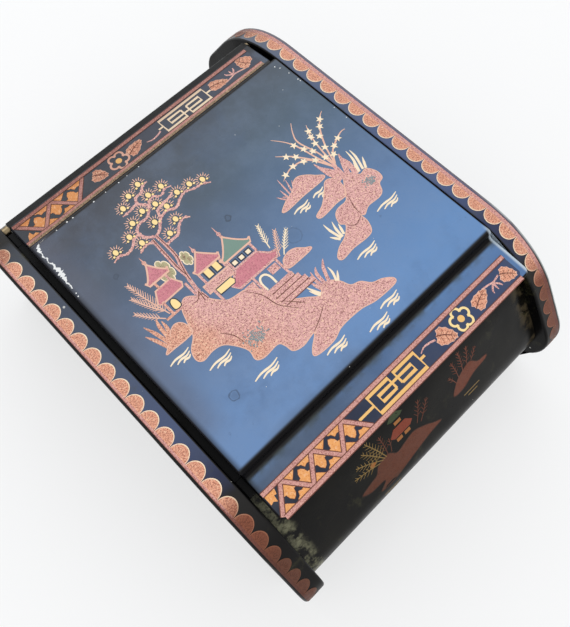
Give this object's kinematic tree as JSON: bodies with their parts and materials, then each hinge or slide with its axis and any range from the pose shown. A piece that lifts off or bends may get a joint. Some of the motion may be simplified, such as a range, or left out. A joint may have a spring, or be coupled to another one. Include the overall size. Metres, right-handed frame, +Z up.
{
  "type": "jewelry box",
  "caption": "Lacquered jewelry box with bellied ends and front, a raised-panel lid on pivot pins, and a velvet interior with ring rolls.",
  "frame": {"origin": "bottom centre of the bounding box, on the surface that the felt stands on", "axes": "+X to the right seen from the front, +Y to the back where the lid is hinged, +Z up"},
  "size_m": [0.1668, 0.235, 0.1],
  "materials": {
    "case_lacquer": "black gloss lacquer with painted borders, worn at the edges",
    "lid_lacquer": "blue-black gloss lacquer with a painted landscape, chipped at the edges",
    "hinge_brass": "dull turned brass",
    "velvet": "crimson velvet",
    "felt": "dark green felt"
  },
  "bodies": {
    "case": {"left_end_board": "case_lacquer", "right_end_board": "case_lacquer", "left_cheek": "case_lacquer", "right_cheek": "case_lacquer", "front_panel": "case_lacquer", "back_panel": "case_lacquer", "front_rail": "case_lacquer", "back_rail": "case_lacquer", "bottom_board": "case_lacquer", "base_felt": "felt", "left_hinge_pin": "hinge_brass", "right_hinge_pin": "hinge_brass", "left_hinge_collar": "hinge_brass", "right_hinge_collar": "hinge_brass", "floor_lining": "velvet", "front_lining": "velvet", "back_lining": "velvet", "left_lining": "velvet", "right_lining": "velvet", "ring_bank": "velvet", "ring_roll_1": "velvet", "ring_roll_2": "velvet", "ring_roll_3": "velvet", "ring_roll_4": "velvet", "ring_roll_5": "velvet", "ring_roll_6": "velvet", "cross_divider": "velvet", "front_divider": "velvet"},
    "lid": {"lid_top": "lid_lacquer", "lid_hinge_rail": "lid_lacquer", "lid_front_strip": "lid_lacquer", "lid_back_strip": "lid_lacquer", "lid_left_strip": "lid_lacquer", "lid_right_strip": "lid_lacquer", "lid_lining": "velvet", "left_hinge_bush": "hinge_brass", "right_hinge_bush": "hinge_brass"}
  },
  "joints": [
    {"name": "lid_hinge", "type": "hinge", "parent": "case", "child": "lid", "pos_m": [0, 0.0797, 0.08945], "axis": [-1, 0, 0], "range_deg": [0, 100]}
  ]
}
